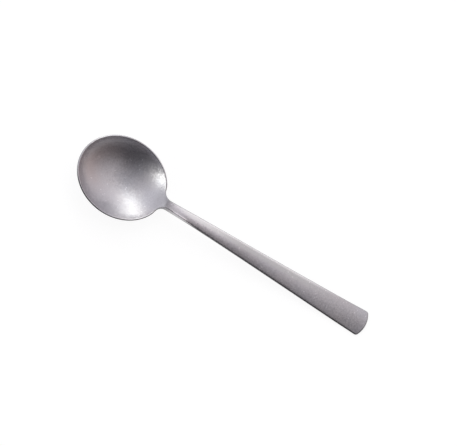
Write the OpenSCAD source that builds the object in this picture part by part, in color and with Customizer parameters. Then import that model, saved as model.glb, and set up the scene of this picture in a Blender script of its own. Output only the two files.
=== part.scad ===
// Round-bowl soup spoon, forged in one piece from stainless steel.
// X runs from the tip of the bowl to the end of the handle, Z points up from the table,
// and the origin lies on the table under the middle of the spoon.
// The forging is drawn as three solids that meet face to face: bowl, neck and handle.

/* [Spoon] */
// Length from the tip of the bowl to the end of the handle
spoon_len = 180; // [160:1:210]

/* [Bowl] */
// Length of the rim's oval along the spoon
bowl_len = 50.5; // [46:0.1:58]
// Width of the bowl over its rim
bowl_w = 41.8; // [36:0.1:48]
// Height of the rim above the table
rim_height = 10.7; // [9:0.1:14]
// Thickness of the steel at the bottom of the bowl
base_t = 1.3; // [0.8:0.1:2]
// Thickness of the fully rounded rim
rim_t = 1; // [0.7:0.05:1.4]
// Slope of the wall at the rim, across the bowl, in degrees
rim_slope = 54; // [48:1:60]
// Length of the flat that the bowl rests on
foot_len = 6.4; // [4:0.1:9]
// Radius in plan between the rim and the neck
shoulder_r = 5.2; // [4:0.1:9]

/* [Neck] */
// Width of the neck
neck_w = 5.5; // [5:0.1:7.5]
// Thickness in the middle of the neck
neck_t = 3.8; // [3.2:0.1:4.6]
// Length of the neck from the shoulders to the handle
neck_len = 20; // [12:1:30]
// Extra depth of the neck's underside at the shoulders
root_depth = 2; // [0.5:0.1:3]
// Height of the neck's crest above the rim
neck_rise = 0.6; // [0.2:0.1:1.5]
// Fall from the middle of the neck's top to its edges
neck_crown = 0.9; // [0.5:0.05:1.1]
// Rise from the middle of the neck's underside to its edges
neck_belly = 0.6; // [0.3:0.05:0.8]
// Radius along the edges of the neck
neck_edge_r = 1.1; // [0.7:0.05:1.3]
// Depth over which the bowl's inside rolls over into the neck
gate_blend = 3; // [1.5:0.1:4]
// Depth over which the neck's underside runs into the bowl's outside
heel_blend = 2; // [1:0.1:3]

/* [Handle] */
// Width that the handle's sides reach at its end
end_w = 13.9; // [11:0.1:17]
// Thickness in the middle of the handle's end
end_t = 2; // [1.7:0.1:2.6]
// Fall from the middle of the handle's top to its edges, at the end
end_crown = 0.65; // [0.3:0.05:0.9]
// Radius along the edges of the handle
handle_edge_r = 0.5; // [0.3:0.05:0.6]
// Radius in plan of the handle's rounded end
end_r = 12.5; // [9:0.5:20]
// Radius in plan of the end's two corners
corner_r = 1.8; // [1:0.1:2.6]
// Rise of the handle above a straight line, a third of the way along
handle_arch = 0.8; // [0:0.1:2]
// Length of the flat under the handle's end
rest_len = 6; // [3:0.5:10]
// Length over which the handle bends to lie on that flat
bend_len = 14; // [8:1:24]

/* [Hidden] */
steel = [0.62, 0.60, 0.61];

// Places along the spoon, and half sizes of the rim's oval
tip_x = -spoon_len/2;
end_x = spoon_len/2;
rim_a = bowl_len/2;
rim_b = bowl_w/2;
bowl_x = tip_x + rim_a;
rim_r = rim_t/2;
neck_half = neck_w/2;
end_half = end_w/2;

// Exponent of the handle's flare, and shares of the handle over which its edge and end settle
flare_share = 1.2;
edge_settle_share = 0.35;
end_settle_share = 6;
// Part of the solid edge that a radius may take
edge_room_share = 0.98;
// Rise of the gate's surface beside the neck, as a share of the neck's thickness
gate_rise_share = 0.13;
// Step for measuring a slope, as a share of the rim's thickness
probe = rim_t/20;

// Counts of points round the bowl, along the neck and handle, and across them
rim_steps = 34;
shoulder_steps = 6;
cut_steps = 12;
edge_steps = 6;
neck_steps = 10;
handle_steps = 30;
corner_steps = 2;
end_steps = cut_steps/2 + 1 - corner_steps;
// Rings of the bowl's surfaces, as shares of the way from its middle to its edge
ring_shares = [0.25, 0.38, 0.5, 0.6, 0.69, 0.77, 0.84, 0.89, 0.93, 0.965];

// Step from 0 to 1 with level ends
function ramp(t) = let (c = max(0, min(1, t))) c*c*(3 - 2*c);
// Lower of two heights, blended where they come within a band of each other
function soft_min(a, b, band) = min(a, b) - pow(max(band - abs(a - b), 0), 2)/(4*band);
function unit(v) = v/norm(v);
function lerp(a, b, t) = a + (b - a)*t;
function flip(p) = [for (i = [0:len(p) - 1]) i == 1 ? -p[i] : p[i]];
function backwards(list) = [for (i = [len(list) - 1:-1:0]) list[i]];

// The rim's oval, by the angle of its parameter from the handle's side
function rim_point(angle) = [bowl_x + rim_a*cos(angle), rim_b*sin(angle)];
function rim_normal(angle) = unit([rim_b*cos(angle), rim_a*sin(angle)]);

// The shoulder is an arc that touches the rim's oval and the side of the neck
function shoulder_miss(angle) =
    rim_point(angle).y + shoulder_r*rim_normal(angle).y - neck_half - shoulder_r;
function solve_shoulder(low, high, steps) =
    let (middle = (low + high)/2)
    steps == 0 ? middle
    : shoulder_miss(middle) < 0 ? solve_shoulder(middle, high, steps - 1)
    : solve_shoulder(low, middle, steps - 1);
shoulder_angle = solve_shoulder(0, 90, 40);
shoulder_turn = atan2(rim_normal(shoulder_angle).y, rim_normal(shoulder_angle).x);
shoulder_centre = rim_point(shoulder_angle) + shoulder_r*rim_normal(shoulder_angle);
shoulder_x = rim_point(shoulder_angle).x;
neck_x = shoulder_centre.x;
handle_x = neck_x + neck_len;

// Half width of the spoon's outline from the middle of the bowl to the handle's end
function oval_half(x) = rim_b*sqrt(max(0, 1 - pow((x - bowl_x)/rim_a, 2)));
function shoulder_half(x) = shoulder_centre.y - sqrt(max(0, pow(shoulder_r, 2) - pow(neck_x - x, 2)));
function flare_half(x) = lerp(neck_half, end_half, pow((x - neck_x)/(end_x - neck_x), flare_share));
function half_width(x) = x < shoulder_x ? oval_half(x) : x < neck_x ? shoulder_half(x) : flare_half(x);

// The underside's middle line falls from the neck, bends and lies flat at the handle's end.
// Over the bowl it climbs clear of the bowl's own surfaces.
neck_under = rim_height + neck_rise - neck_t;
rest_x = end_x - rest_len;
bend_x = rest_x - bend_len;
fall = neck_under/(rest_x - bend_len/2 - neck_x);
function arch(t) = 27/4*handle_arch*(t < 0 ? t : t > 1 ? 0 : t*pow(1 - t, 2));
function under_line(x) =
    (x < bend_x ? fall*(rest_x - bend_len/2 - x)
     : x < rest_x ? fall*pow(rest_x - x, 2)/(2*bend_len) : 0)
    + arch((x - neck_x)/(bend_x - neck_x))
    + rim_height*(1 - ramp((x - bowl_x)/(shoulder_x - bowl_x)));

// Share of the way along the neck and handle, and what changes with it
function along(x) = max(0, min(1, (x - neck_x)/(end_x - neck_x)));
function mid_thickness(x) = lerp(end_t, neck_t, pow(1 - along(x), 2));
function root(x) = root_depth*(1 - ramp((x - neck_x)/neck_len));
function crown(x) = lerp(neck_crown, end_crown, along(x));
function belly(x) = neck_belly*(1 - ramp((x - neck_x)/(bend_x - neck_x)));

// Top and underside of the neck and handle, carried on over the end of the bowl
function gate_share(x) = ramp((x - bowl_x - rim_a/2)/(neck_x - bowl_x - rim_a/2));
function crown_share(x) = ramp((x - shoulder_x)/(handle_x - shoulder_x));
function handle_top(x, y) =
    under_line(x) + mid_thickness(x)
    - crown(x)*crown_share(x)*pow(y/max(half_width(x), neck_half), 2)
    + gate_rise_share*neck_t*(1 - gate_share(x))*pow(y/neck_half, 2);
function handle_under(x, y) =
    under_line(x) - root(x) + belly(x)*pow(y/(x < neck_x ? neck_half : half_width(x)), 2);

// The bowl's surfaces are round caps, stretched to an oval plan, that run on straight past the rim.
// flat is the cosine of the cap's half angle, and sets how steep it is at its edge.
function cap(share, flat) =
    share > 1 ? (1 - share)*(1 + flat)/flat
    : (sqrt(1 - (1 - pow(flat, 2))*pow(share, 2)) - flat)/(1 - flat);
function cap_flat(half, depth) = 1/(tan(rim_slope)*half/depth - 1);
function oval_share(x, y, inset) = norm([(x - bowl_x)/(rim_a - inset), y/(rim_b - inset)]);

inside_inset = rim_r*(1 + sin(rim_slope));
inside_edge = rim_height - rim_r*(1 - cos(rim_slope));
inside_depth = inside_edge - base_t;
inside_flat = cap_flat(rim_b - inside_inset, inside_depth);
function inside_z(x, y) =
    inside_edge - inside_depth*cap(oval_share(x, y, inside_inset), inside_flat);

outside_inset = rim_r*(1 - sin(rim_slope));
outside_edge = rim_height - rim_r*(1 + cos(rim_slope));
outside_flat = cap_flat(rim_b - outside_inset, outside_edge);
foot_share = foot_len/2/(rim_a - outside_inset);
foot_cap = cap(foot_share, outside_flat);
function outside_z(x, y) =
    outside_edge*(1 - cap(oval_share(x, y, outside_inset), outside_flat)/foot_cap);

// Top and underside of the whole spoon
function top_z(p) = soft_min(inside_z(p.x, p.y), handle_top(p.x, p.y), gate_blend);
function under_z(p) = max(0, soft_min(outside_z(p.x, p.y), handle_under(p.x, p.y), heel_blend));

// Edge radius: half the rim's thickness round the bowl, growing over the shoulders to the neck's
function wanted_edge_r(x) =
    x < shoulder_x ? rim_r
    : x < neck_x ? lerp(rim_r, neck_edge_r, ramp((x - shoulder_x)/(neck_x - shoulder_x)))
    : lerp(neck_edge_r, handle_edge_r, ramp(along(x)/edge_settle_share));
function edge_room(x) = edge_room_share*(mid_thickness(x) + root(x) - crown(x) - belly(x))/2;
function edge_r(x) = x < shoulder_x ? rim_r : min(wanted_edge_r(x), max(rim_r, edge_room(x)));

// Rounded edge at a point of the outline, from the top surface out and down to the underside
function slope_top(p, n) = atan((top_z(p) - top_z(p - probe*n))/probe);
function slope_under(p, n) = atan((under_z(p) - under_z(p - probe*n))/probe);
function edge(p, n) =
    let (r = edge_r(p.x),
         core = p - r*n,
         a_top = slope_top(core, n),
         a_under = slope_under(core, n),
         start = core - r*sin(a_top)*n,
         finish = core + r*sin(a_under)*n,
         z_start = top_z(start) - r*cos(a_top),
         z_finish = under_z(finish) + r*cos(a_under))
    [for (k = [0:edge_steps])
        let (t = k/edge_steps,
             angle = lerp(90 + a_top, a_under - 90, t),
             q = core + r*cos(angle)*n)
        [q.x, q.y, lerp(z_start, z_finish, t) + r*sin(angle)]];

// Triangles between two closed rings of count points, which start at point numbers a and b
function band_faces(a, b, count) =
    [for (i = [0:count - 1])
        let (j = (i + 1)%count)
        each [[a + i, b + i, b + j], [a + i, b + j, a + j]]];
function fan_faces(hub, a, count) = [for (i = [0:count - 1]) [hub, a + i, a + (i + 1)%count]];
function turned(faces) = [for (f = faces) backwards(f)];

// Bowl: outline from the neck round the tip and back, as points with outward normals
bowl_half_outline = [
    for (k = [0:shoulder_steps - 1])
        let (angle = lerp(-90, shoulder_turn - 180, k/shoulder_steps), d = [cos(angle), sin(angle)])
        [shoulder_centre + shoulder_r*d, -d],
    for (k = [0:rim_steps])
        let (angle = lerp(shoulder_angle, 180, k/rim_steps))
        [rim_point(angle), rim_normal(angle)]];
bowl_half_edges = [for (o = bowl_half_outline) edge(o[0], o[1])];
bowl_edges = concat(bowl_half_edges,
                    [for (i = [len(bowl_half_edges) - 2:-1:0]) [for (p = bowl_half_edges[i]) flip(p)]]);

// Points across the neck's cut face at one depth of its edge, from one side to the other
function cut_points(side_edge, k) =
    let (side = side_edge[k],
         t = k/edge_steps)
    [for (i = [1:cut_steps - 1])
        let (y = lerp(-side.y, side.y, i/cut_steps),
             y_top = lerp(-side_edge[0].y, side_edge[0].y, i/cut_steps),
             y_under = lerp(-side_edge[edge_steps].y, side_edge[edge_steps].y, i/cut_steps),
             z_top = top_z([side.x, y_top]),
             z_under = under_z([side.x, y_under]))
        [side.x, k == 0 ? y_top : k == edge_steps ? y_under : y, lerp(z_top, z_under, t)]];

function bowl_ring(k) = concat([for (e = bowl_edges) e[k]], cut_points(bowl_edges[0], k));
// Ring inside another, a share of the way out from the bowl's middle, and a true oval near it
function bowl_points(ring, share, inset, top) =
    [for (p = ring)
        let (pull = share/lerp(oval_share(p.x, p.y, inset), 1, pow(share, 4)),
             q = [lerp(bowl_x, p.x, pull), p.y*pull])
        [q.x, q.y, top ? top_z(q) : under_z(q)]];

module bowl() {
    top_ring = bowl_ring(0);
    under_ring = bowl_ring(edge_steps);
    count = len(top_ring);
    rings = [
        for (s = ring_shares) bowl_points(top_ring, s, inside_inset, true),
        for (k = [0:edge_steps]) bowl_ring(k),
        for (s = backwards(ring_shares)) bowl_points(under_ring, s, outside_inset, false),
        bowl_points(under_ring, foot_share, outside_inset, false)];
    last = len(rings) - 1;
    points = [for (r = rings) each r, [bowl_x, 0, base_t], [bowl_x, 0, 0]];
    faces = concat([for (r = [0:last - 1]) each band_faces(r*count, (r + 1)*count, count)],
                   fan_faces(len(points) - 2, 0, count),
                   turned(fan_faces(len(points) - 1, last*count, count)));
    color(steel) polyhedron(points, turned(faces));
}

// Closed ring of points round the neck or handle: top from left to right, right edge, underside
// from right to left, left edge. side is the rounded edge on the right.
function ring_of(top, side, under) =
    concat(top,
           [for (k = [1:edge_steps - 1]) side[k]],
           backwards(under),
           [for (k = [edge_steps - 1:-1:1]) flip(side[k])]);
ring_count = 2*(cut_steps + edge_steps);
first_ring = [for (i = [0:ring_count - 1]) i];

// Flat section of the spoon at x
function section(x) =
    let (side = edge([x, half_width(x)], [0, 1]),
         y_top = side[0].y,
         y_under = side[edge_steps].y)
    ring_of([for (i = [0:cut_steps])
                let (y = lerp(-y_top, y_top, i/cut_steps)) [x, y, top_z([x, y])]],
            side,
            [for (i = [0:cut_steps])
                let (y = lerp(-y_under, y_under, i/cut_steps)) [x, y, under_z([x, y])]]);

module neck() {
    rings = [for (i = [0:neck_steps]) section(lerp(neck_x, handle_x, i/neck_steps))];
    faces = concat([for (r = [0:neck_steps - 1])
                       each band_faces(r*ring_count, (r + 1)*ring_count, ring_count)],
                   [first_ring, backwards([for (i = first_ring) neck_steps*ring_count + i])]);
    color(steel) polyhedron([for (r = rings) each r], turned(faces));
}

// The handle's end is an arc, and each corner is an arc that touches it and the side
end_centre = [end_x - end_r, 0];
function side_turn(x) = atan((half_width(x + probe) - half_width(x - probe))/(2*probe));
function corner_centre(x) =
    let (turn = side_turn(x)) [x, half_width(x)] - corner_r*[-sin(turn), cos(turn)];
function solve_corner(low, high, steps) =
    let (middle = (low + high)/2)
    steps == 0 ? middle
    : norm(corner_centre(middle) - end_centre) < end_r - corner_r ? solve_corner(middle, high, steps - 1)
    : solve_corner(low, middle, steps - 1);
side_end_x = solve_corner(rest_x - bend_len, end_x, 40);
corner_at = corner_centre(side_end_x);
corner_turn = atan2(corner_at.y, corner_at.x - end_centre.x);
corner_first = 90 + side_turn(side_end_x);
corner_middle = (corner_first + corner_turn)/2;

// Points of the handle's outline with outward normals: its left side to the middle of the corner,
// and its end from the middle of one corner to the middle of the other
function corner_point(angle) =
    let (d = [cos(angle), sin(angle)]) [corner_at + corner_r*d, d];
side_outline = [
    for (i = [0:handle_steps])
        let (x = lerp(handle_x, side_end_x, i/handle_steps),
             turn = side_turn(x)*pow(i/handle_steps, end_settle_share))
        [[x, half_width(x)], [-sin(turn), cos(turn)]],
    for (k = [1:corner_steps]) corner_point(lerp(corner_first, corner_middle, k/corner_steps))];
end_half_outline = [
    for (i = [0:end_steps - 1])
        let (angle = corner_turn*i/(end_steps - 1), d = [cos(angle), sin(angle)])
        [end_centre + end_r*d, d],
    for (k = [corner_steps - 1:-1:0])
        corner_point(lerp(corner_middle, corner_turn, k/corner_steps))];

module handle() {
    side = [for (o = side_outline) edge(o[0], o[1])];
    half = [for (o = end_half_outline) edge(o[0], o[1])];
    end = concat([for (i = [len(half) - 1:-1:1]) [for (p = half[i]) flip(p)]], half);
    last = len(side) - 1;
    // Row of the top or underside from one side to the other, bending near the end to its arc
    function row(i, k) =
        let (corner = end[cut_steps][k],
             settled = pow((side[i][k].x - handle_x)/(corner.x - handle_x), end_settle_share))
        [for (j = [0:cut_steps])
            let (x = side[i][k].x + (end[j][k].x - corner.x)*settled,
                 y = side[i][k].y*lerp(2*j/cut_steps - 1, end[j][k].y/corner.y, settled))
            [x, y, k == 0 ? top_z([x, y]) : under_z([x, y])]];
    rings = [for (i = [0:last]) ring_of(row(i, 0), side[i], row(i, edge_steps))];
    inner = cut_steps - 1;
    base = last*ring_count;
    cap_base = base + ring_count;
    // Point numbers across the end at one depth of its edge
    function end_row(k) =
        k == 0 ? [for (j = [0:cut_steps]) base + j]
        : k == edge_steps ? [for (j = [0:cut_steps]) base + 2*cut_steps + edge_steps - j]
        : [base + ring_count - k,
           for (j = [0:inner - 1]) cap_base + (k - 1)*inner + j,
           base + cut_steps + k];
    points = concat([for (r = rings) each r],
                    [for (k = [1:edge_steps - 1]) for (j = [1:inner]) end[j][k]]);
    faces = concat([for (r = [0:last - 1])
                       each band_faces(r*ring_count, (r + 1)*ring_count, ring_count)],
                   [first_ring],
                   [for (k = [0:edge_steps - 1])
                       let (a = end_row(k), b = end_row(k + 1))
                       for (j = [0:inner])
                           each [[a[j], b[j], b[j + 1]], [a[j], b[j + 1], a[j + 1]]]]);
    color(steel) polyhedron(points, turned(faces));
}

bowl();
neck();
handle();
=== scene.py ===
import math

import bmesh
import bpy
import numpy as np
from mathutils import Matrix, Vector


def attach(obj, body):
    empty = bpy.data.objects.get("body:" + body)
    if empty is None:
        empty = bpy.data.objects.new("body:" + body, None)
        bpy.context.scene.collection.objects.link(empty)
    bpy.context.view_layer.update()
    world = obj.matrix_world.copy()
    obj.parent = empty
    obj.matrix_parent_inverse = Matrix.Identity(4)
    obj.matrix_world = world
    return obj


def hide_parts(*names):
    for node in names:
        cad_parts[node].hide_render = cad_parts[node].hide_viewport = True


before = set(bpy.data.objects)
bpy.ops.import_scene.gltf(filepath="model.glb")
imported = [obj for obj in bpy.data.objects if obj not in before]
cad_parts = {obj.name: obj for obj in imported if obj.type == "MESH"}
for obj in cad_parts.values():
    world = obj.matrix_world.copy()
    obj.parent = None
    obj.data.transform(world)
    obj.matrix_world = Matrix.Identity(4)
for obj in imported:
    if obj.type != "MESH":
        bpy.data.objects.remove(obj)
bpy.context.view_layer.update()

MM = 0.001

# Sizes of the forging, the same as its solids have
SPOON_LEN = 180*MM
BOWL_LEN = 50.5*MM
BOWL_WIDTH = 41.8*MM
RIM_HEIGHT = 10.7*MM
BASE_THICKNESS = 1.3*MM
RIM_THICKNESS = 1*MM
RIM_SLOPE = math.radians(54)
FOOT_LEN = 6.4*MM
SHOULDER_RADIUS = 5.2*MM
NECK_WIDTH = 5.5*MM
NECK_THICKNESS = 3.8*MM
NECK_LEN = 20*MM
ROOT_DEPTH = 2*MM
NECK_RISE = 0.6*MM
NECK_CROWN = 0.9*MM
NECK_BELLY = 0.6*MM
NECK_EDGE_RADIUS = 1.1*MM
GATE_BLEND = 3*MM
HEEL_BLEND = 2*MM
END_WIDTH = 13.9*MM
END_THICKNESS = 2*MM
END_CROWN = 0.65*MM
HANDLE_EDGE_RADIUS = 0.5*MM
END_RADIUS = 12.5*MM
CORNER_RADIUS = 1.8*MM
HANDLE_ARCH = 0.8*MM
REST_LEN = 6*MM
BEND_LEN = 14*MM

# Powers by which the handle's width grows and its rows settle on its end, and shares: of the handle's
# length where its edge radius settles, of the room for an edge, and of the neck's thickness at the gate
FLARE = 1.2
END_SETTLE = 6
EDGE_SETTLE_SHARE = 0.35
EDGE_ROOM_SHARE = 0.98
GATE_RISE_SHARE = 0.13

# The highest value of t*(1 - t)**2, and the step over which slopes are taken
ARCH_PEAK = 4/27
PROBE = RIM_THICKNESS/20

# Steps round the rim and shoulders, across the skins, round the edges, out to the rim, along the neck and
# handle and round the corners and the end, and the halvings that find where two of the outline's curves meet
RIM_STEPS = 110
SHOULDER_STEPS = 18
CUT_STEPS = 24
EDGE_STEPS = 12
BOWL_RINGS = 64
NECK_STEPS = 36
HANDLE_STEPS = 110
CORNER_STEPS = 5
END_STEPS = CUT_STEPS//2 + 1 - CORNER_STEPS
SOLVE_STEPS = 50

# The bowl's first ring as a share of the way out, and the power by which the rings settle on the outline
FIRST_RING_SHARE = 0.02
RING_SETTLE = 4

# Points nearer than the weld are one point, and edges shorter than a sliver are dropped
WELD = 0.002*MM
SLIVER = 0.0005*MM

# A skin is named by where its points come in each row of an edge
TOP, UNDER = 0, -1

# Wear is 1 in the middle of a rounded edge; the same mask also places painted shade and a painted highlight
# on the edges and the handle's borders. On the handle it starts on the skin beside the edge, from this share
# of the half width, and reaches this much at the border. In the last rows it reaches these shares of that
# over the whole width
BORDER_START_SHARE = 0.75
BORDER_WEAR_AND_PAINTED_LIGHT = 0.55
LAST_ROW_SHARES = (0.35, 0.7, 1)


def ramp(t):
    """From 0 to 1 as t does, level at both ends."""
    c = np.clip(t, 0, 1)
    return c*c*(3 - 2*c)


def soft_min(a, b, band):
    """The lower of two heights, blended where they are within the band of each other."""
    return np.minimum(a, b) - np.maximum(band - np.abs(a - b), 0)**2/(4*band)


def lerp(a, b, t):
    return a + (b - a)*t


def solve(miss, low, high):
    """Where a miss that rises from below zero to above it is zero."""
    for _ in range(SOLVE_STEPS):
        middle = (low + high)/2
        if miss(middle) < 0:
            low = middle
        else:
            high = middle
    return (low + high)/2


def across(angle):
    """The level direction at an angle from the handle's."""
    return np.stack([np.cos(angle), np.sin(angle)], axis=-1)


# The rim's oval and the shoulders
rim_a, rim_b = BOWL_LEN/2, BOWL_WIDTH/2
end_x = SPOON_LEN/2
bowl_x = rim_a - SPOON_LEN/2
rim_radius = RIM_THICKNESS/2
neck_half, end_half = NECK_WIDTH/2, END_WIDTH/2


def rim_point(angle):
    return across(angle)*[rim_a, rim_b] + [bowl_x, 0]


def rim_normal(angle):
    n = across(angle)*[rim_b, rim_a]
    return n/np.linalg.norm(n, axis=-1, keepdims=True)


shoulder_angle = solve(lambda a: rim_point(a)[1] + SHOULDER_RADIUS*rim_normal(a)[1]
                       - neck_half - SHOULDER_RADIUS, 0, math.pi/2)
shoulder_turn = math.atan2(rim_normal(shoulder_angle)[1], rim_normal(shoulder_angle)[0])
shoulder_centre = rim_point(shoulder_angle) + SHOULDER_RADIUS*rim_normal(shoulder_angle)
shoulder_x = rim_point(shoulder_angle)[0]
neck_x = shoulder_centre[0]
handle_x = neck_x + NECK_LEN


def half_width(x):
    oval = rim_b*np.sqrt(np.maximum(0, 1 - ((x - bowl_x)/rim_a)**2))
    shoulder = shoulder_centre[1] - np.sqrt(np.maximum(0, SHOULDER_RADIUS**2 - (neck_x - x)**2))
    flare = lerp(neck_half, end_half, (np.maximum(x - neck_x, 0)/(end_x - neck_x))**FLARE)
    return np.where(x < shoulder_x, oval, np.where(x < neck_x, shoulder, flare))


# Heights along the neck and handle
neck_under = RIM_HEIGHT + NECK_RISE - NECK_THICKNESS
rest_x = end_x - REST_LEN
bend_x = rest_x - BEND_LEN
fall = neck_under/(rest_x - BEND_LEN/2 - neck_x)


def arch(t):
    """The handle's arch, from the neck to the bend, which is highest a third of the way along."""
    return HANDLE_ARCH/ARCH_PEAK*np.where(t < 0, t, np.where(t > 1, 0, t*(1 - t)**2))


def under_line(x):
    line = np.where(x < bend_x, fall*(rest_x - BEND_LEN/2 - x),
                    fall*np.maximum(rest_x - x, 0)**2/(2*BEND_LEN))
    lift = RIM_HEIGHT*(1 - ramp((x - bowl_x)/(shoulder_x - bowl_x)))
    return line + arch((x - neck_x)/(bend_x - neck_x)) + lift


def along(x):
    return np.clip((x - neck_x)/(end_x - neck_x), 0, 1)


def mid_thickness(x):
    return lerp(END_THICKNESS, NECK_THICKNESS, (1 - along(x))**2)


def root(x):
    return ROOT_DEPTH*(1 - ramp((x - neck_x)/NECK_LEN))


def crown(x):
    return lerp(NECK_CROWN, END_CROWN, along(x))


def belly(x):
    return NECK_BELLY*(1 - ramp((x - neck_x)/(bend_x - neck_x)))


def handle_top(x, y):
    gate = ramp((x - bowl_x - rim_a/2)/(neck_x - bowl_x - rim_a/2))
    crowned = ramp((x - shoulder_x)/(handle_x - shoulder_x))
    return (under_line(x) + mid_thickness(x)
            - crown(x)*crowned*(y/np.maximum(half_width(x), neck_half))**2
            + GATE_RISE_SHARE*NECK_THICKNESS*(1 - gate)*(y/neck_half)**2)


def handle_under(x, y):
    half = np.where(x < neck_x, neck_half, half_width(x))
    return under_line(x) - root(x) + belly(x)*(y/half)**2


# The bowl's two skins: round caps stretched to an oval, which run on straight past the rim
def cap(share, flat):
    """A cap's depth at a share of the way out, as a share of its deepest."""
    inner = (np.sqrt(np.maximum(0, 1 - (1 - flat**2)*share**2)) - flat)/(1 - flat)
    return np.where(share > 1, (1 - share)*(1 + flat)/flat, inner)


def cap_flat(half, depth):
    """How flat a cap is that is this deep and meets the rim at its slope."""
    return 1/(math.tan(RIM_SLOPE)*half/depth - 1)


def oval_share(x, y, inset):
    return np.hypot((x - bowl_x)/(rim_a - inset), y/(rim_b - inset))


inside_inset = rim_radius*(1 + math.sin(RIM_SLOPE))
inside_edge = RIM_HEIGHT - rim_radius*(1 - math.cos(RIM_SLOPE))
inside_depth = inside_edge - BASE_THICKNESS
inside_flat = cap_flat(rim_b - inside_inset, inside_depth)
outside_inset = rim_radius*(1 - math.sin(RIM_SLOPE))
outside_edge = RIM_HEIGHT - rim_radius*(1 + math.cos(RIM_SLOPE))
outside_flat = cap_flat(rim_b - outside_inset, outside_edge)
foot_share = FOOT_LEN/2/(rim_a - outside_inset)
foot_cap = cap(foot_share, outside_flat)


def top_z(p):
    x, y = p[..., 0], p[..., 1]
    inside = inside_edge - inside_depth*cap(oval_share(x, y, inside_inset), inside_flat)
    return soft_min(inside, handle_top(x, y), GATE_BLEND)


def under_z(p):
    x, y = p[..., 0], p[..., 1]
    outside = outside_edge*(1 - cap(oval_share(x, y, outside_inset), outside_flat)/foot_cap)
    return np.maximum(0, soft_min(outside, handle_under(x, y), HEEL_BLEND))


def on_skin(q, skin):
    """The level points q, raised to the top skin or to the underside."""
    z = top_z(q) if skin == TOP else under_z(q)
    return np.concatenate([q, z[..., None]], axis=-1)


def edge_radius(x):
    """The radius grows round the shoulders and shrinks along the handle, where there is less room."""
    over = lerp(rim_radius, NECK_EDGE_RADIUS, ramp((x - shoulder_x)/(neck_x - shoulder_x)))
    past = lerp(NECK_EDGE_RADIUS, HANDLE_EDGE_RADIUS, ramp(along(x)/EDGE_SETTLE_SHARE))
    room = EDGE_ROOM_SHARE*(mid_thickness(x) + root(x) - crown(x) - belly(x))/2
    wanted = np.minimum(np.where(x < neck_x, over, past), np.maximum(rim_radius, room))
    return np.where(x < shoulder_x, rim_radius, wanted)


def rounded_edge(p, n):
    """Arcs at an outline's points, from the top skin out along the normals and down to the underside."""
    r = edge_radius(p[:, 0])[:, None]
    core = p - r*n
    lean_top = np.arctan((top_z(core) - top_z(core - PROBE*n))/PROBE)[:, None]
    lean_under = np.arctan((under_z(core) - under_z(core - PROBE*n))/PROBE)[:, None]
    high = top_z(core - r*np.sin(lean_top)*n)[:, None] - r*np.cos(lean_top)
    low = under_z(core + r*np.sin(lean_under)*n)[:, None] + r*np.cos(lean_under)
    t = np.linspace(0, 1, EDGE_STEPS + 1)
    angle = lerp(math.pi/2 + lean_top, lean_under - math.pi/2, t)
    q = core[:, None] + (r*np.cos(angle))[..., None]*n[:, None]
    return np.concatenate([q, (lerp(high, low, t) + r*np.sin(angle))[..., None]], axis=-1)


class Forging:
    """Grids of points, which are joined into one skin where they share a border. Each point also
    has its wear, from 0 on the open skins to 1 in the middle of a rounded edge, which also places painted
    shade and a painted highlight."""

    def __init__(self):
        self.points, self.faces, self.wear_and_painted_light = [], [], []

    def grid(self, rows, wear_and_painted_light=0):
        rows = np.asarray(rows)
        n, m = rows.shape[:2]
        start = len(self.points)
        self.points.extend(rows.reshape(-1, 3).tolist())
        self.wear_and_painted_light.extend((np.zeros((n, m)) + wear_and_painted_light).ravel().tolist())
        for i in range(n - 1):
            for j in range(m - 1):
                a = start + i*m + j
                self.faces.append((a, a + 1, a + m + 1, a + m))

    def fan(self, hub, ring):
        start = len(self.points)
        self.points.append(list(hub))
        self.points.extend(np.asarray(ring).tolist())
        self.wear_and_painted_light.extend([0]*(len(ring) + 1))
        for j in range(len(ring) - 1):
            self.faces.append((start, start + 1 + j, start + 2 + j))


mirror = np.array([1, -1, 1])
from_side_to_side = np.linspace(-1, 1, CUT_STEPS + 1)
edge_wear_and_painted_light = np.sin(np.linspace(0, math.pi, EDGE_STEPS + 1))
past_start = (np.abs(from_side_to_side) - BORDER_START_SHARE)/(1 - BORDER_START_SHARE)
skin_wear_and_painted_light = BORDER_WEAR_AND_PAINTED_LIGHT*np.clip(past_start, 0, 1)


def cut_row(side, skin):
    y = side[1]*from_side_to_side
    return on_skin(np.stack([np.full_like(y, side[0]), y], axis=-1), skin)


def bowl_ring(outer, share, inset, skin):
    """A ring inside the outer one, an oval near the middle that settles on the outer ring's shape."""
    pull = share/lerp(oval_share(outer[:, 0], outer[:, 1], inset), 1, share**RING_SETTLE)
    q = np.stack([lerp(bowl_x, outer[:, 0], pull), outer[:, 1]*pull], axis=-1)
    return on_skin(q, skin)


def forge_bowl(forging):
    """The rim and shoulders, from the neck round the tip and back to the neck, and the two skins."""
    turn = lerp(-math.pi/2, shoulder_turn - math.pi, np.arange(SHOULDER_STEPS)/SHOULDER_STEPS)
    round_rim = lerp(shoulder_angle, math.pi, np.arange(RIM_STEPS + 1)/RIM_STEPS)
    outline = np.concatenate([shoulder_centre + SHOULDER_RADIUS*across(turn), rim_point(round_rim)])
    outward = np.concatenate([-across(turn), rim_normal(round_rim)])
    half_rim = rounded_edge(outline, outward)
    rim = np.concatenate([half_rim, half_rim[-2::-1]*mirror])

    inside_shares = np.sin(np.linspace(FIRST_RING_SHARE, 1, BOWL_RINGS)*math.pi/2)
    outside_shares = np.concatenate([[foot_share], lerp(foot_share, 1, inside_shares)])
    for skin, shares, inset, hub_height in ((TOP, inside_shares, inside_inset, BASE_THICKNESS),
                                            (UNDER, outside_shares, outside_inset, 0)):
        outer = np.concatenate([rim[:, skin], cut_row(rim[0, skin], skin)[1:]])
        rings = [bowl_ring(outer, s, inset, skin) for s in shares[:-1]] + [outer]
        forging.grid(rings)
        forging.fan((bowl_x, 0, hub_height), rings[0])
    forging.grid(rim, edge_wear_and_painted_light)


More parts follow.
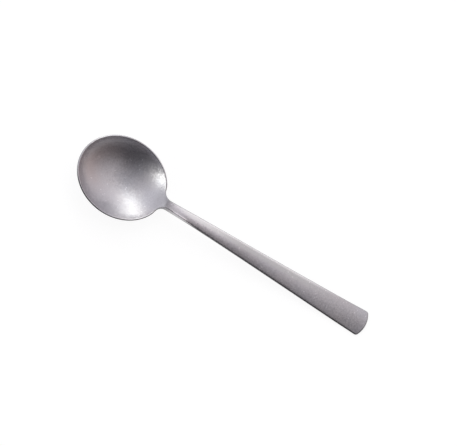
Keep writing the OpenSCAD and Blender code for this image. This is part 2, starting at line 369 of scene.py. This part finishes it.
def forge_neck(forging):
    line = np.linspace(neck_x, handle_x, NECK_STEPS + 1)
    side = rounded_edge(np.stack([line, half_width(line)], axis=-1), np.tile([0.0, 1.0], (len(line), 1)))
    share = np.linspace(0, 1, NECK_STEPS + 1)[:, None]
    for edge in (side, side*mirror):
        forging.grid(edge, lerp(edge_wear_and_painted_light, 1, share*BORDER_WEAR_AND_PAINTED_LIGHT))
    for skin in (TOP, UNDER):
        forging.grid([cut_row(s[skin], skin) for s in side], share*skin_wear_and_painted_light)


def side_turn(x):
    return np.arctan((half_width(x + PROBE) - half_width(x - PROBE))/(2*PROBE))


def corner_centre(x):
    a = side_turn(x)
    return np.array([x, float(half_width(x))]) - CORNER_RADIUS*np.array([-math.sin(a), math.cos(a)])


# The handle's end is an arc, and each corner rounds a side into it
end_centre = np.array([end_x - END_RADIUS, 0])
side_end_x = solve(lambda x: np.linalg.norm(corner_centre(x) - end_centre)
                   - END_RADIUS + CORNER_RADIUS, bend_x, end_x)
corner = corner_centre(side_end_x)
corner_first = math.pi/2 + side_turn(side_end_x)
corner_last = math.atan2(corner[1], corner[0] - end_centre[0])


def to_corner_middle(turn):
    """Directions from the corner's centre, after one of its ends and as far as its middle."""
    middle = (corner_first + corner_last)/2
    return across(lerp(turn, middle, np.arange(1, CORNER_STEPS + 1)/CORNER_STEPS))


def handle_side():
    share = np.arange(HANDLE_STEPS + 1)/HANDLE_STEPS
    line = lerp(handle_x, side_end_x, share)
    lean = side_turn(line)*share**END_SETTLE
    corner_way = to_corner_middle(corner_first)
    outline = np.concatenate([np.stack([line, half_width(line)], axis=-1),
                              corner + CORNER_RADIUS*corner_way])
    return rounded_edge(outline, np.concatenate([across(lean + math.pi/2), corner_way]))


def handle_end():
    end_way = across(corner_last*np.arange(END_STEPS)/(END_STEPS - 1))
    corner_way = to_corner_middle(corner_last)
    outline = np.concatenate([end_centre + END_RADIUS*end_way, corner + CORNER_RADIUS*corner_way])
    half_end = rounded_edge(outline, np.concatenate([end_way, corner_way]))
    return np.concatenate([half_end[:0:-1]*mirror, half_end])


def handle_row(edge, end, skin):
    """Points across the handle, straight near the neck and settling on the arc of its end."""
    settled = ((edge[skin, 0] - handle_x)/(end[-1, skin, 0] - handle_x))**END_SETTLE
    x = edge[skin, 0] + (end[:, skin, 0] - end[-1, skin, 0])*settled
    y = edge[skin, 1]*lerp(from_side_to_side, end[:, skin, 1]/end[-1, skin, 1], settled)
    return on_skin(np.stack([x, y], axis=-1), skin)


def forge_handle(forging):
    side, end = handle_side(), handle_end()
    for edge in (side, side*mirror, end):
        forging.grid(edge, lerp(edge_wear_and_painted_light, 1, BORDER_WEAR_AND_PAINTED_LIGHT))
    wear_and_painted_light = np.tile(skin_wear_and_painted_light, (len(side), 1))
    last_rows = wear_and_painted_light[-len(LAST_ROW_SHARES):]
    np.maximum(last_rows, BORDER_WEAR_AND_PAINTED_LIGHT*np.array(LAST_ROW_SHARES)[:, None], out=last_rows)
    for skin in (TOP, UNDER):
        forging.grid([handle_row(s, end, skin) for s in side], wear_and_painted_light)


def forge_spoon():
    forging = Forging()
    forge_bowl(forging)
    forge_neck(forging)
    forge_handle(forging)
    mesh = bpy.data.meshes.new("soup_spoon")
    mesh.from_pydata(forging.points, [], forging.faces)
    mesh.attributes.new("wear_and_painted_light", "FLOAT", "POINT").data.foreach_set("value", forging.wear_and_painted_light)
    bm = bmesh.new()
    bm.from_mesh(mesh)
    bmesh.ops.remove_doubles(bm, verts=bm.verts, dist=WELD)
    bmesh.ops.dissolve_degenerate(bm, edges=bm.edges, dist=SLIVER)
    bmesh.ops.recalc_face_normals(bm, faces=bm.faces)
    bm.to_mesh(mesh)
    bm.free()
    mesh.polygons.foreach_set("use_smooth", [True]*len(mesh.polygons))
    return mesh


def add_object(name, data):
    added = bpy.data.objects.new(name, data)
    bpy.context.scene.collection.objects.link(added)
    return added


class Value:
    """A node's output. A sum that is written with it adds the sum's Math nodes to its tree."""

    def __init__(self, tree, socket):
        self.tree, self.socket = tree, socket

    def maths(self, operation, *others):
        return self.tree.maths(operation, self, *others)

    def __add__(self, other):
        return self.maths("ADD", other)

    def __sub__(self, other):
        return self.maths("SUBTRACT", other)

    def __rsub__(self, other):
        return self.tree.maths("SUBTRACT", other, self)

    def __mul__(self, other):
        return self.maths("MULTIPLY", other)

    __radd__ = __add__
    __rmul__ = __mul__


class Tree:
    """The nodes of a material or a world. Each is made by the node method, which makes its settings first
    and then sets its sockets, to numbers or to links."""

    def __init__(self, owner):
        owner.use_nodes = True
        self.tree = owner.node_tree
        self.tree.nodes.clear()

    def node(self, kind, settings=None, inputs=None, output=0):
        node = self.tree.nodes.new("ShaderNode" + kind)
        for name, setting in (settings or {}).items():
            setattr(node, name, setting)
        for name, value in (inputs or {}).items():
            if isinstance(value, Value):
                self.tree.links.new(value.socket, node.inputs[name])
            else:
                node.inputs[name].default_value = value
        return Value(self, node.outputs[output]) if node.outputs else None

    def maths(self, operation, *values):
        return self.node("Math", {"operation": operation}, dict(enumerate(values)))

    def vectors(self, operation, *values, output="Vector"):
        return self.node("VectorMath", {"operation": operation}, dict(enumerate(values)), output)

    def scaled(self, vector, amount):
        return self.node("VectorMath", {"operation": "SCALE"}, {0: vector, "Scale": amount})

    def dot(self, vector, way):
        return self.vectors("DOT_PRODUCT", vector, tuple(way), output="Value")

    def part(self, vector, axis):
        return self.node("SeparateXYZ", inputs={0: vector}, output=axis)

    def mixed(self, factor, first, second):
        """A colour between two. By these names the node gives its colour sockets once its type is set."""
        return self.node("Mix", {"data_type": "RGBA"}, {"Factor": factor, "A": first, "B": second},
                         output="Result")

    def smooth(self, value, start, full):
        """0 up to the start and 1 from where it is full, which may lie on either side of it."""
        return self.node("MapRange", {"interpolation_type": "SMOOTHSTEP"},
                         {"Value": value, "From Min": start, "From Max": full}, output="Result")


# Satin finish: a grain's size and how far it leans, and the size and detail of clouds and patches
GRAIN_SIZE, GRAIN_LEAN = 0.36*MM, 0.125
CLOUDS = (16*MM, 3)
PATCHES, PATCH_HEIGHT = (5*MM, 2), 0.0144*MM

# Scuffs: each kind's width, its length as a number of widths and its turn in radians
SCUFFS = ((0.35*MM, 30, 0.5), (0.4*MM, 24, 2.1))
SCUFF_DETAIL, SCUFF_HEIGHT = 1, 0.006*MM

# Colours of the steel: two that the clouds vary between, and the tint of the painted sheen on the handle's
# upper border
STEEL_WARM = (0.61, 0.587, 0.598, 1)
STEEL_COOL = (0.60, 0.59, 0.614, 1)
STEEL_SHEEN = (0.598, 0.606, 0.598, 1)

# Roughness, and how much of it comes from the grain, clouds, scuffs and worn edges
ROUGHNESS = 0.31
GRAIN_ROUGH, CLOUD_ROUGH, SCUFF_ROUGH, WORN_SMOOTH = 0.06, 0.05, 0.05, 0.12

# How much specks, grain, clouds, patches and scuffs change the steel's brightness
SPECK_BRIGHT, GRAIN_BRIGHT, CLOUD_BRIGHT, PATCH_BRIGHT, SCUFF_DARK = 0.5, 0.11, 0.05, 0.04, 0.08

# From here on a pair is where a change starts and where it is full. Places are along the spoon, from its
# middle toward the handle's end, or across it, toward its upper side, and these are values of the noise
SPECKS = (0.494, 0.497)
SCUFF_LINES = (0.20, 0.28)
CLOUD_TINTS = (-0.15, 0.15)

# Painted shade darkens the rounded edges as they turn away from this direction, which leans from straight up
# toward the upper side. The bowl's tip gets less painted shade, and its lower rim and the handle's end and
# lower border more
PAINTED_LIGHT_WAY = (0, 0.4, 1)
EDGE_TURNS, EDGE_DARK = (0.9, 0.5), 0.9
TIP, TIP_LIFT = (-79*MM, -88*MM), 0.25
LOWER_RIM_WAY, LOWER_RIM, LOWER_RIM_DROP = (-0.48, -0.87, 0), (46*MM, 51.5*MM), 0.3
END, END_DROP = (86.5*MM, 88*MM), 0.32
LOWER_BORDER, LOWER_BORDER_ACROSS, LOWER_BORDER_DROP = (0*MM, 35*MM), (-2.0*MM, -3.2*MM), 0.3

# The throat's edges get little of the painted edge shade, the neck has a painted highlight, and the gate and
# the handle's end have painted shade
THROAT_START, THROAT_END, THROAT_UNSHADED = (-43*MM, -37*MM), (-14*MM, -28*MM), 0.9
NECK_START, NECK_END, NECK_BRIGHT = (-38*MM, -30*MM), (15*MM, -25*MM), 0.53
GATE_START, GATE_END, GATE_DARK = (-46*MM, -41*MM), (-33*MM, -37*MM), 0.16
HANDLE_SHADED, HANDLE_DARK = (40*MM, 85*MM), 0.11

# A painted highlight in the bowl's well, by the distance from its centre
WELL_CENTRE, WELL, WELL_BRIGHT = (-65.4*MM, 4.1*MM, 1.5*MM), (9*MM, 1*MM), 0.2

# The painted sheen on the handle's upper border, and the painted shade on the ridge in the middle of its
# edge
SHEEN_START, SHEEN_END, SHEEN_TURNS = (-36*MM, -24*MM), (80*MM, 40*MM), (1.0, 1.05)
SHEEN_BRIGHT, SHEEN_TINT = 1.1, 0.8
RIDGE, RIDGE_DARK = (0.56, 0.8), 1.35

# A small raised lip along the neck's lower edge, with a higher crest on its half toward the handle
LIP_START, LIP_END = (-41*MM, -33*MM), (-22*MM, -27*MM)
LIP_ACROSS, LIP_HEIGHT = (-0.9*MM, -2.3*MM), 0.14*MM
CREST_START, CREST_ACROSS, CREST_HEIGHT = (-34*MM, -29*MM), (-1.5*MM, -2.1*MM), 0.3*MM


class FinishAndPaintedLight(Tree):
    """The nodes of the spoon's finish and of the light and shade painted on it, which know the places on it,
    its wear and which way it faces.
    """

    def __init__(self, owner):
        super().__init__(owner)
        self.place = self.node("TexCoord", output="Object")
        self.length, self.width = (self.part(self.place, axis) for axis in "XY")
        self.facing = self.dot(self.node("NewGeometry", output="Normal"), PAINTED_LIGHT_WAY)
        self.wear_and_painted_light = self.node("Attribute", {"attribute_name": "wear_and_painted_light"}, output="Fac")

    def along(self, place):
        return self.smooth(self.length, *place)

    def over(self, place):
        return self.smooth(self.width, *place)

    def noise(self, size, detail, where=None):
        """Noise that goes both ways from zero, with features of about this size."""
        inputs = {"Vector": where or self.place, "Scale": 1/size, "Detail": detail}
        return self.node("TexNoise", None, inputs, output="Fac") - 0.5

    def scuffs(self, width, length, turn):
        """Thin lines where a noise that is stretched this many times along a turned X is high."""
        where = self.node("Mapping", {"vector_type": "TEXTURE"},
                          {"Vector": self.place, "Rotation": (0, 0, turn), "Scale": (length, 1, 1)})
        return self.smooth(self.noise(width, SCUFF_DETAIL, where), *SCUFF_LINES)

    def painted_edge_shade(self):
        """How much painted shade darkens the rounded edges, by how far they turn from the painted light's
        way.
        """
        lower_rim = self.smooth(self.dot(self.place, LOWER_RIM_WAY), *LOWER_RIM)
        lower_border = self.along(LOWER_BORDER)*self.over(LOWER_BORDER_ACROSS)
        turned = (self.facing + self.along(TIP)*TIP_LIFT - lower_rim*LOWER_RIM_DROP
                  - self.along(END)*END_DROP - lower_border*LOWER_BORDER_DROP)
        throat = self.along(THROAT_START)*self.along(THROAT_END)
        return self.wear_and_painted_light*self.smooth(turned, *EDGE_TURNS)*(1 - throat*THROAT_UNSHADED)*EDGE_DARK

    # Painted sheen: the handle's upper border, where it faces the painted light's way
    def painted_sheen(self):
        return (self.smooth(self.facing, *SHEEN_TURNS)*self.along(SHEEN_START)
                * self.along(SHEEN_END))

    def painted_highlights_and_shade(self, painted_sheen):
        """How much a painted highlight brightens the steel, or painted shade darkens it where this is below
        zero.
        """
        neck = self.along(NECK_START)*self.along(NECK_END)
        gate = self.along(GATE_START)*self.along(GATE_END)
        well = self.smooth(self.vectors("DISTANCE", self.place, WELL_CENTRE, output="Value"), *WELL)
        border = (self.wear_and_painted_light*SHEEN_BRIGHT - self.smooth(self.wear_and_painted_light, *RIDGE)*RIDGE_DARK)*painted_sheen
        return (neck*NECK_BRIGHT - gate*GATE_DARK - self.along(HANDLE_SHADED)*HANDLE_DARK
                + well*WELL_BRIGHT + border)

    def lip(self):
        low = self.along(LIP_START)*self.over(LIP_ACROSS)*LIP_HEIGHT
        crest = self.along(CREST_START)*self.over(CREST_ACROSS)*CREST_HEIGHT
        return self.along(LIP_END)*(low + crest)


def blasted_steel():
    steel = bpy.data.materials.new("blasted_steel")
    tree = FinishAndPaintedLight(steel)
    facet = tree.node("TexVoronoi", None, {"Vector": tree.place, "Scale": 1/GRAIN_SIZE}, output="Color")
    lean = tree.vectors("SUBTRACT", facet, (0.5, 0.5, 0.5))
    grain = tree.part(lean, "X")
    speck = tree.smooth(tree.part(lean, "Y"), *SPECKS)
    cloud = tree.noise(*CLOUDS)
    patch = tree.noise(*PATCHES)
    scuff = tree.scuffs(*SCUFFS[0]) + tree.scuffs(*SCUFFS[1])

    painted_sheen = tree.painted_sheen()
    tone = tree.mixed(tree.smooth(cloud, *CLOUD_TINTS), STEEL_WARM, STEEL_COOL)
    # The painted sheen on the handle's upper border also tints the steel
    tone = tree.mixed(painted_sheen*SHEEN_TINT, tone, STEEL_SHEEN)
    shade = (1 + speck*SPECK_BRIGHT + grain*GRAIN_BRIGHT + cloud*CLOUD_BRIGHT + patch*PATCH_BRIGHT
             - scuff*SCUFF_DARK)
    # Painted shade on the rounded edges, and painted highlights and painted shade in places along the spoon
    shade = shade*(1 - tree.painted_edge_shade())*(1 + tree.painted_highlights_and_shade(painted_sheen))
    rough = (ROUGHNESS + grain*GRAIN_ROUGH + cloud*CLOUD_ROUGH + scuff*SCUFF_ROUGH
             - tree.wear_and_painted_light*WORN_SMOOTH)

    height = scuff*SCUFF_HEIGHT + patch*PATCH_HEIGHT + tree.lip()
    bump = tree.node("Bump", None, {"Height": height, "Distance": 1, "Strength": 1})
    normal = tree.vectors("MULTIPLY_ADD", lean, (GRAIN_LEAN, GRAIN_LEAN, GRAIN_LEAN), bump)
    shader = tree.node("BsdfPrincipled", None, {
        "Base Color": tree.scaled(tone, shade), "Metallic": 1, "Roughness": rough,
        "Normal": tree.vectors("NORMALIZE", normal)})
    tree.node("OutputMaterial", None, {"Surface": shader})
    return steel


# Table: its half size in metres, its own grey, how white it is to the camera, and the share of that which
# shows in the steel
TABLE_HALF = 60
TABLE_GREY = (0.2, 0.2, 0.2, 1)
TABLE_WHITE = 0.88
TABLE_IN_STEEL = 0.56


def white_table():
    """White to the camera and grey in the steel's reflections, and it takes the spoon's shadow."""
    paper = bpy.data.materials.new("white_table")
    tree = Tree(paper)
    camera, clear, glossy = (tree.node("LightPath", output=f"Is {ray} Ray")
                             for ray in ("Camera", "Transmission", "Glossy"))
    seen = camera.maths("MAXIMUM", clear).maths("MAXIMUM", glossy*TABLE_IN_STEEL)
    matt = tree.node("BsdfDiffuse", None, {"Color": TABLE_GREY})
    fill = tree.node("Emission", None, {"Color": (1, 1, 1, 1), "Strength": seen*TABLE_WHITE})
    tree.node("OutputMaterial", None, {"Surface": tree.node("AddShader", None, {0: matt, 1: fill})})
    mesh = bpy.data.meshes.new("table")
    corners = ((-1, -1), (1, -1), (1, 1), (-1, 1))
    mesh.from_pydata([(x*TABLE_HALF, y*TABLE_HALF, 0) for x, y in corners], [], [(0, 1, 2, 3)])
    mesh.materials.append(paper)
    return mesh


# Camera: a long lens that looks down steeply. The direction to it leans this much toward the bowl's tip and
# the lower side, and the spoon's length slopes down to the right in the picture. Its distance and the end of
# its view are in metres, and its sensor's width is in millimetres
CAMERA_DISTANCE = 6.0
LEAN_TO_TIP, LEAN_TO_LOWER = 0.27, 0.16
SLOPE = math.radians(30.75)
SENSOR_WIDTH = 36
VIEW_END = 200

# The picture's width and scale, and where the spoon's origin shows, in pixels from the picture's middle
PICTURE_WIDTH = 457
PIXELS_PER_MM = 1.9425
ORIGIN_RIGHT, ORIGIN_UP = -7.97, -16.93

towards = Vector((-LEAN_TO_TIP, -LEAN_TO_LOWER, math.sqrt(1 - LEAN_TO_TIP**2 - LEAN_TO_LOWER**2)))
handle_way = (Vector((1, 0, 0)) - towards*towards.x).normalized()
right = handle_way*math.cos(SLOPE) + towards.cross(handle_way)*math.sin(SLOPE)
up = towards.cross(right)


def long_lens():
    pixel = MM/PIXELS_PER_MM
    lens = bpy.data.cameras.new("camera")
    lens.sensor_width = SENSOR_WIDTH
    lens.lens = SENSOR_WIDTH*CAMERA_DISTANCE/(PICTURE_WIDTH*pixel)
    lens.clip_end = VIEW_END
    stand = towards*CAMERA_DISTANCE - right*(ORIGIN_RIGHT*pixel) - up*(ORIGIN_UP*pixel)
    camera = add_object("camera", lens)
    camera.matrix_world = Matrix.Translation(stand) @ Matrix((right, up, towards)).transposed().to_4x4()
    return camera


# Studio: a soft sky with upright cards. A card has its azimuth in degrees from the picture's right toward
# its top, its half width, the sines of its lowest and highest elevation, and how soft those borders are.
# The gap is a dark card that takes light from the room, the wall and the horizon
WINDOW = (83, 0.19, -0.4, 0.86, 0.12)
SILL = (71, 0.15, -0.4, 0.2, 0.12)
LAMP = (188, 0.19, -0.4, 0.53, 0.33)
WALL = (-3, 0.6, -0.4, 0.925, 0.05)
GAP = (49, 0.1, -0.05, 0.35, 0.05)
GAP_DARK = 0.85

# A card is only on its own side of the sky, and comes in between these shares of its way
CARD_FRONT = (0.0, 0.2)

# How bright each light is and its tint
AMBIENT_LIGHT, AMBIENT_TINT = 0.056, (1.04, 0.99, 1.16)
ROOM_LIGHT, ROOM_TINT = 0.77, (1.0, 0.99, 1.05)
WINDOW_LIGHT, SILL_LIGHT, WINDOW_TINT = 1.62, 1.2, (0.96, 1.0, 0.935)
LAMP_LIGHT, LAMP_TINT = 3.1, (0.965, 1.0, 0.945)
WALL_LIGHT, LOW_WALL_TINT, HIGH_WALL_TINT = 0.42, (1.18, 0.93, 0.85), (1.04, 0.98, 0.985)
HORIZON_LIGHT, HORIZON_TINT = 0.59, (1, 1, 1)

# Which way the room and the horizon brighten, between which shares of it, and the horizon's half height
ROOM_AZIMUTH, ROOM_SPREAD = 107, (-0.7, 0.75)
HORIZON_AZIMUTH, HORIZON_SPREAD, HORIZON_HALF = 16, (-0.66, 0.14), 0.17

# Where the wall goes from its low to its high tint, and the fainter band across it
WALL_TINTS = (0.4, 0.9)
BAND_HEIGHT, BAND_HALF, BAND_DARK = 0.5, 0.22, 0.13


def studio():
    world = bpy.data.worlds.new("studio")
    tree = Tree(world)
    direction = tree.node("TexCoord", output="Generated")
    height = tree.part(direction, "Z")
    level_right = Vector((right.x, right.y, 0)).normalized()
    level_up = Vector((-level_right.y, level_right.x, 0))

    def share_of(azimuth):
        """How far a direction goes toward the level one of this azimuth."""
        turn = math.radians(azimuth)
        return tree.dot(direction, level_right*math.cos(turn) + level_up*math.sin(turn))

    def bell(value, middle, half):
        spread = (value - middle)*(1/half)
        return (spread*spread*-1).maths("EXPONENT")

    def card(azimuth, half, low, high, soft):
        return (tree.smooth(share_of(azimuth), *CARD_FRONT)*bell(share_of(azimuth + 90), 0, half)
                * tree.smooth(height, low - soft, low + soft)*tree.smooth(height, high + soft, high - soft))

    gap = 1 - card(*GAP)*GAP_DARK
    room = gap*tree.smooth(share_of(ROOM_AZIMUTH), *ROOM_SPREAD)*ROOM_LIGHT
    window = card(*WINDOW)*WINDOW_LIGHT + card(*SILL)*SILL_LIGHT
    lamp = card(*LAMP)*LAMP_LIGHT
    wall = card(*WALL)*gap*(1 - bell(height, BAND_HEIGHT, BAND_HALF)*BAND_DARK)*WALL_LIGHT
    upper = tree.smooth(height, *WALL_TINTS)
    horizon = (gap*bell(height, 0, HORIZON_HALF)*tree.smooth(share_of(HORIZON_AZIMUTH), *HORIZON_SPREAD)
               * HORIZON_LIGHT)
    light = tuple(AMBIENT_LIGHT*tint for tint in AMBIENT_TINT)
    for amount, tint in ((room, ROOM_TINT), (window, WINDOW_TINT), (lamp, LAMP_TINT),
                         (wall*(1 - upper), LOW_WALL_TINT), (wall*upper, HIGH_WALL_TINT),
                         (horizon, HORIZON_TINT)):
        light = tree.vectors("ADD", light, tree.scaled(tint, amount))
    sky = tree.node("Background", None, {"Color": light, "Strength": 1})
    tree.node("OutputWorld", None, {"Surface": sky})
    return world


spoon = add_object("soup_spoon", forge_spoon())
spoon.data.materials.append(blasted_steel())
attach(spoon, "root")
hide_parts("bowl", "neck", "handle")

table = add_object("table", white_table())

scene = bpy.context.scene
scene.camera = long_lens()
scene.world = studio()
scene.view_settings.view_transform = "Standard"
